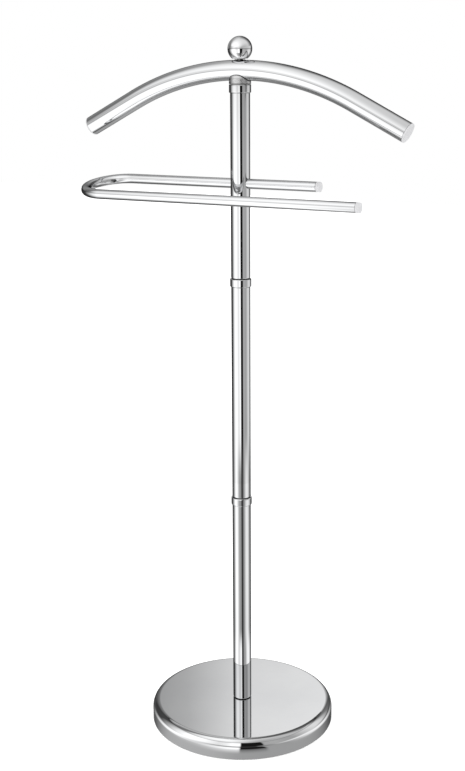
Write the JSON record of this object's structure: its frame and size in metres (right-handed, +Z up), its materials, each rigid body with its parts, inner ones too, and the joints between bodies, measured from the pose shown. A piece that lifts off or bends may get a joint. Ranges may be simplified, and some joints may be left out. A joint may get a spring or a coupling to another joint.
{
  "type": "valet stand",
  "caption": "Chromed valet stand: weighted round base, sectioned post, hairpin trouser rail, curved coat hanger bar on a saddle and a ball finial.",
  "frame": {"origin": "centre of the underside of the base, on the floor", "axes": "+Z up along the post, X along the hanger bar and the trouser rail, -Y is the front, where the rail's front leg is"},
  "size_m": [0.5134, 0.28, 1.0314],
  "materials": {
    "chrome": "polished chrome plate on steel tube",
    "satin_metal": "satin, cast",
    "steel": "zinc plated",
    "black_steel": "black oxide",
    "cast_iron": "as cast, painted dark",
    "grey_plastic": "moulded, satin grey",
    "nylon": "moulded, black",
    "foam": "closed-cell foam, black"
  },
  "bodies": {
    "stand": {"base_cover": "chrome", "base_weight": "cast_iron", "base_pad": "foam", "base_bolt": "steel", "base_bolt_washer": "steel", "lower_post": "chrome", "lower_post_foot_insert": "steel", "lower_post_head_insert": "steel", "lower_joint_ring": "chrome", "lower_joint_stud": "steel", "middle_post": "chrome", "middle_post_foot_insert": "steel", "middle_post_head_insert": "steel", "upper_joint_ring": "chrome", "upper_joint_stud": "steel", "upper_post": "chrome", "upper_post_foot_insert": "steel", "upper_post_head_insert": "steel", "rail_clamp_bush": "nylon", "rail_clamp_screw": "black_steel", "collar_ring": "chrome", "finial_stud": "steel"},
    "rail": {"trouser_rail": "chrome", "rail_cap_back": "grey_plastic", "rail_cap_front": "grey_plastic"},
    "hanger": {"hanger_saddle": "satin_metal", "hanger_bar": "chrome", "hanger_cap_left": "grey_plastic", "hanger_cap_right": "grey_plastic"},
    "finial_seat": {"finial_washer": "nylon"},
    "finial": {"finial_ball": "chrome"}
  },
  "joints": [
    {"name": "rail_tilt", "type": "hinge", "parent": "stand", "child": "rail", "pos_m": [0, 0, 0.8294], "axis": [1, 0, 0], "range_deg": [-84, 65]},
    {"name": "hanger_swivel", "type": "hinge", "parent": "stand", "child": "hanger", "pos_m": [0, 0, 0.9665], "axis": [0, 0, 1], "continuous": true},
    {"name": "finial_turn", "type": "hinge", "parent": "hanger", "child": "finial_seat", "pos_m": [0, 0, 1], "axis": [0, 0, 1], "range_deg": [0, 2885]},
    {"name": "finial_lift", "type": "slide", "parent": "finial_seat", "child": "finial", "axis": [0, 0, 1], "range_m": [0, 0.01]}
  ],
  "couplings": [
    {"joint": "finial_turn", "follows": "finial_lift", "rad_per_m": 5026.5}
  ]
}
